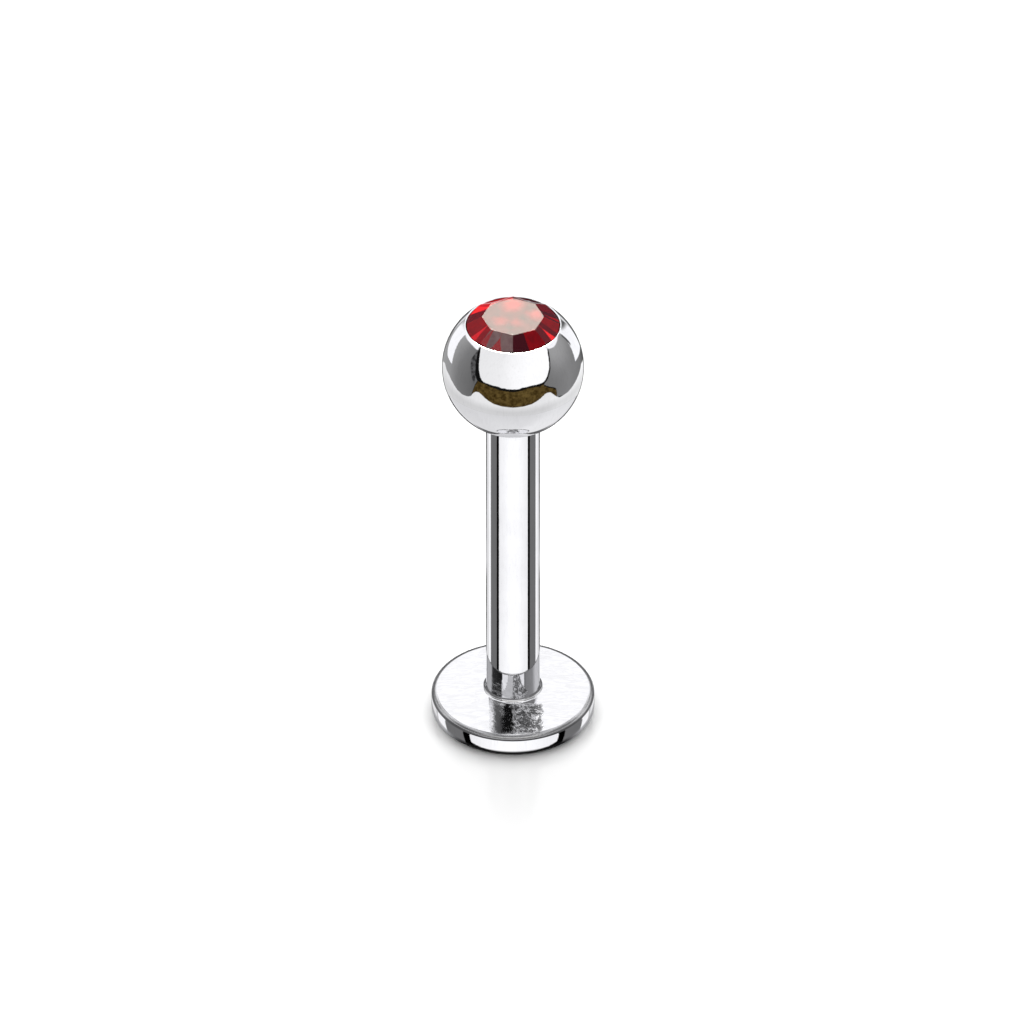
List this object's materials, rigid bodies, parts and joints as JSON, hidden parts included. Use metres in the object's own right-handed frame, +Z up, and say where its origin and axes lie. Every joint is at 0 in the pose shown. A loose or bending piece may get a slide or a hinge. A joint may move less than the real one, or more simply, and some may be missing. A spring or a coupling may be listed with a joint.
{
  "type": "labret stud",
  "caption": "Straight piercing stud with a flat round back, and a screw-on ball that holds a faceted red stone.",
  "frame": {"origin": "centre of the disc's flat underside, which stands on the surface", "axes": "+Z up along the bar to the ball and the stone; -Y is the front, where a corner of the stone's table points"},
  "size_m": [0.0048, 0.0048, 0.0144],
  "materials": {
    "polished_steel": "mirror-polished surgical steel",
    "red_glass": "cut red glass with a foiled back"
  },
  "bodies": {
    "post": {"post": "polished_steel"},
    "ball": {"ball": "polished_steel", "gem": "red_glass"}
  },
  "joints": [
    {"name": "ball_lift", "type": "slide", "parent": "post", "child": "ball", "axis": [0, 0, 1], "range_m": [0, 0.006]}
  ]
}
